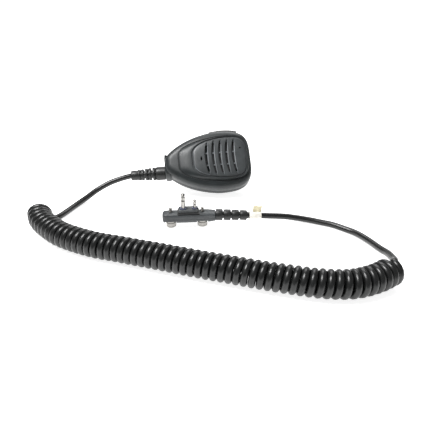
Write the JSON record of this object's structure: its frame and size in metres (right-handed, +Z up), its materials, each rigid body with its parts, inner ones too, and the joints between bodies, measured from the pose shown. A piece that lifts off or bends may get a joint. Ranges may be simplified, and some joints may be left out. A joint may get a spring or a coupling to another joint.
{
  "type": "hand microphone",
  "caption": "Hand-held speaker microphone for a two-way radio, with a talk key, belt clip, curly cord and two-pin screw-down plug, lying on a table.",
  "frame": {"origin": "on the table, under the middle of the microphone housing", "axes": "+X along the microphone from its cable end to its top end, +Y towards the side with the talk key, +Z up"},
  "size_m": [0.269, 0.1995, 0.0538],
  "materials": {
    "housing_plastic": "satin",
    "panel_plastic": "satin",
    "key_plastic": "satin",
    "clip_plastic": "satin",
    "plug_plastic": "satin",
    "collar_plastic": "satin",
    "switch_black": "satin",
    "switch_ivory": "satin",
    "board_green": "satin",
    "speaker_film": "satin",
    "vent_film": "matte",
    "acoustic_mesh": "matte",
    "paper_tape": "matte",
    "black_rubber": "matte",
    "foam_rubber": "matte",
    "cap_rubber": "matte",
    "relief_rubber": "satin",
    "cable_jacket": "satin",
    "plated_steel": "satin",
    "magnet_steel": "satin",
    "screw_steel": "satin",
    "aluminium_can": "satin",
    "nickel_contact": "polished",
    "nickel_knob": "satin"
  },
  "bodies": {
    "microphone": {"front_shell": "housing_plastic", "rear_shell": "housing_plastic", "shell_gasket": "black_rubber", "grille_panel": "panel_plastic", "dust_mesh": "acoustic_mesh", "speaker_frame": "plated_steel", "speaker_magnet": "magnet_steel", "speaker_cone": "speaker_film", "speaker_gasket": "foam_rubber", "mic_capsule": "aluminium_can", "mic_boot": "black_rubber", "vent_membrane": "vent_film", "circuit_board": "board_green", "tact_switch": "switch_black", "ptt_seal": "black_rubber", "housing_screws": "screw_steel", "earphone_jack": "switch_black", "jack_cap_pin": "screw_steel", "cord_anchor": "plated_steel", "anchor_screws": "screw_steel", "mic_strain_relief": "relief_rubber", "inner_lead": "cable_jacket", "clip_screw": "screw_steel", "clip_washer": "plated_steel", "mic_lead": "cable_jacket", "coil_cord": "cable_jacket", "plug_lead": "cable_jacket", "cord_tag": "paper_tape", "plug_body": "plug_plastic", "plug_cover": "plug_plastic", "cover_screws": "screw_steel", "plug_board": "board_green", "plug_seal": "black_rubber", "pin_large": "nickel_contact", "pin_small": "nickel_contact", "pin_insulators": "black_rubber", "pin_collars": "collar_plastic", "screw_rings": "black_rubber", "plug_strain_relief": "relief_rubber", "plug_inner_lead": "cable_jacket"},
    "talk_key": {"ptt_key": "key_plastic"},
    "switch_button": {"switch_plunger": "switch_ivory"},
    "jack_cover": {"jack_cap": "cap_rubber"},
    "clip_turntable": {"clip_base": "clip_plastic", "clip_pin": "screw_steel", "clip_spring": "plated_steel"},
    "clip_jaw": {"clip_lever": "clip_plastic"},
    "thumb_left": {"thumb_screw_left": "nickel_knob"},
    "thumb_right": {"thumb_screw_right": "nickel_knob"}
  },
  "joints": [
    {"name": "talk_press", "type": "slide", "parent": "microphone", "child": "talk_key", "axis": [0.061, -0.6679, -0.7418], "range_m": [0, 0.0012], "stiffness_N_per_m": 1500, "springref_m": -0.0006},
    {"name": "switch_press", "type": "slide", "parent": "microphone", "child": "switch_button", "axis": [0.061, -0.6679, -0.7418], "range_m": [0, 0.0003]},
    {"name": "jack_cover_swing", "type": "hinge", "parent": "microphone", "child": "jack_cover", "pos_m": [-0.03907, -0.00168, 0.03406], "axis": [0, -0.7431, 0.6691], "range_deg": [0, 110]},
    {"name": "clip_swivel", "type": "hinge", "parent": "microphone", "child": "clip_turntable", "pos_m": [0.00599, 0.00705, 0.01805], "axis": [0, -0.7431, 0.6691], "continuous": true},
    {"name": "clip_open", "type": "hinge", "parent": "clip_turntable", "child": "clip_jaw", "pos_m": [0.01198, 0.01286, 0.0133], "axis": [0.061, -0.6679, -0.7418], "range_deg": [0, 25], "stiffness_Nm_per_rad": 0.4, "springref_deg": -20.05},
    {"name": "thumb_left_turn", "type": "hinge", "parent": "microphone", "child": "thumb_left", "pos_m": [-0.0338, -0.069, 0.008], "axis": [0, 0, 1], "continuous": true},
    {"name": "thumb_right_turn", "type": "hinge", "parent": "microphone", "child": "thumb_right", "pos_m": [-0.0082, -0.069, 0.008], "axis": [0, 0, 1], "continuous": true}
  ],
  "couplings": [
    {"joint": "switch_press", "follows": "talk_press", "ratio": 0.25}
  ]
}
